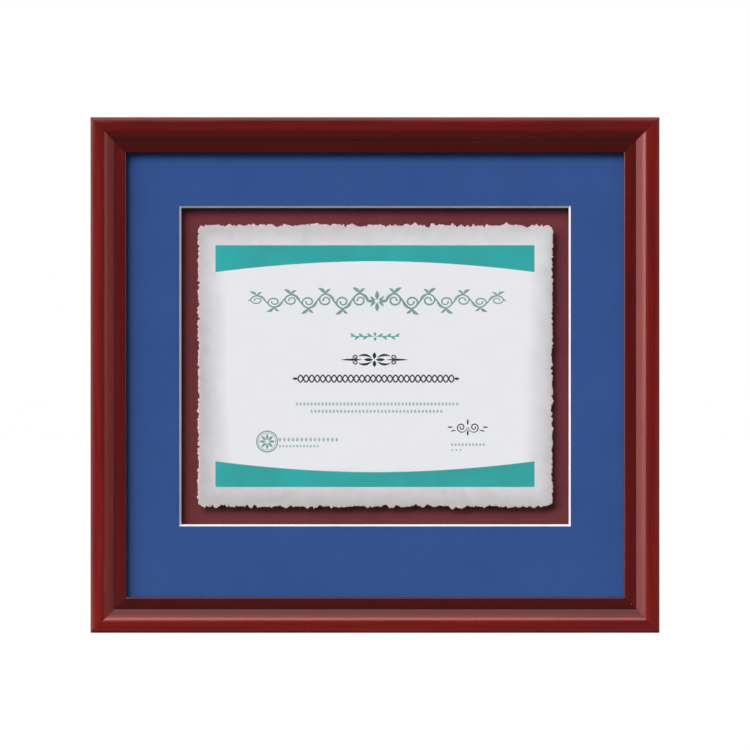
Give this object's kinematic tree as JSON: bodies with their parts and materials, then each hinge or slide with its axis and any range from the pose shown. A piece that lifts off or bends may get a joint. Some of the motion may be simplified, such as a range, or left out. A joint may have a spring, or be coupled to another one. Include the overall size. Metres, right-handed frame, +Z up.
{
  "type": "certificate frame",
  "caption": "Mahogany-coloured timber certificate frame: glass, blue bevelled mat, burgundy board, floated deckle-edged certificate, turn-button back and D-ring hangers.",
  "frame": {"origin": "centre of the underside of the object's box: on the centre line across, at the bottom rail's underside, half-way between the crest and the bumpers' backs", "axes": "+X to the right seen from the front, -Y out of the front, +Y to the wall, +Z up"},
  "size_m": [0.4064, 0.0274, 0.3683],
  "materials": {
    "moulding_timber": "red mahogany stain under satin-gloss lacquer; bare pale wood on the back",
    "zinc_steel": "zinc plated, lightly worn",
    "float_glass": "clear 2 mm float glass, seamed edges",
    "mat_facing_paper": "smooth royal blue facing paper",
    "mat_core_board": "white core board, cut at 45 degrees",
    "foam_board": "white paper-faced foam board",
    "mount_board": "smooth burgundy board",
    "certificate_paper": "heavy deckle-edged sheet, greyed towards its edge, printed with teal bands",
    "mounting_tape": "double-sided tape",
    "backing_hardboard": "brown hardboard, smooth face",
    "bumper_rubber": "soft dark rubber, matt"
  },
  "bodies": {
    "frame": {"top_rail": "moulding_timber", "bottom_rail": "moulding_timber", "left_rail": "moulding_timber", "right_rail": "moulding_timber", "corner_v_nails": "zinc_steel", "turn_button_screws": "zinc_steel", "hanger_screws": "zinc_steel", "hanger_strap_left": "zinc_steel", "hanger_strap_right": "zinc_steel", "glass_pane": "float_glass", "mat_facing": "mat_facing_paper", "mat_core": "mat_core_board", "top_spacer": "foam_board", "bottom_spacer": "foam_board", "left_spacer": "foam_board", "right_spacer": "foam_board", "float_block": "foam_board", "mount_board": "mount_board", "certificate_sheet": "certificate_paper", "mounting_tapes": "mounting_tape", "backing_board": "backing_hardboard", "bumper_left": "bumper_rubber", "bumper_right": "bumper_rubber"},
    "turn_button_1": {"turn_button_1": "zinc_steel"},
    "turn_button_2": {"turn_button_2": "zinc_steel"},
    "turn_button_3": {"turn_button_3": "zinc_steel"},
    "turn_button_4": {"turn_button_4": "zinc_steel"},
    "turn_button_5": {"turn_button_5": "zinc_steel"},
    "turn_button_6": {"turn_button_6": "zinc_steel"},
    "turn_button_7": {"turn_button_7": "zinc_steel"},
    "turn_button_8": {"turn_button_8": "zinc_steel"},
    "hanger_ring_left": {"hanger_ring_left": "zinc_steel"},
    "hanger_ring_right": {"hanger_ring_right": "zinc_steel"}
  },
  "joints": [
    {"name": "turn_button_1_pivot", "type": "hinge", "parent": "frame", "child": "turn_button_1", "pos_m": [-0.1016, 0.01027, 0.0104], "axis": [0, 1, 0], "continuous": true},
    {"name": "turn_button_2_pivot", "type": "hinge", "parent": "frame", "child": "turn_button_2", "pos_m": [0.1016, 0.01027, 0.0104], "axis": [0, 1, 0], "continuous": true},
    {"name": "turn_button_3_pivot", "type": "hinge", "parent": "frame", "child": "turn_button_3", "pos_m": [0.1928, 0.01027, 0.09208], "axis": [0, 1, 0], "continuous": true},
    {"name": "turn_button_4_pivot", "type": "hinge", "parent": "frame", "child": "turn_button_4", "pos_m": [0.1928, 0.01027, 0.22835], "axis": [0, 1, 0], "continuous": true},
    {"name": "turn_button_5_pivot", "type": "hinge", "parent": "frame", "child": "turn_button_5", "pos_m": [0.1016, 0.01027, 0.3579], "axis": [0, 1, 0], "continuous": true},
    {"name": "turn_button_6_pivot", "type": "hinge", "parent": "frame", "child": "turn_button_6", "pos_m": [-0.1016, 0.01027, 0.3579], "axis": [0, 1, 0], "continuous": true},
    {"name": "turn_button_7_pivot", "type": "hinge", "parent": "frame", "child": "turn_button_7", "pos_m": [-0.1928, 0.01027, 0.22835], "axis": [0, 1, 0], "continuous": true},
    {"name": "turn_button_8_pivot", "type": "hinge", "parent": "frame", "child": "turn_button_8", "pos_m": [-0.1928, 0.01027, 0.09208], "axis": [0, 1, 0], "continuous": true},
    {"name": "hanger_ring_left_hinge", "type": "hinge", "parent": "frame", "child": "hanger_ring_left", "pos_m": [-0.1935, 0.01158, 0.2883], "axis": [-1, 0, 0], "range_deg": [0, 175]},
    {"name": "hanger_ring_right_hinge", "type": "hinge", "parent": "frame", "child": "hanger_ring_right", "pos_m": [0.1935, 0.01158, 0.2883], "axis": [-1, 0, 0], "range_deg": [0, 175]}
  ]
}
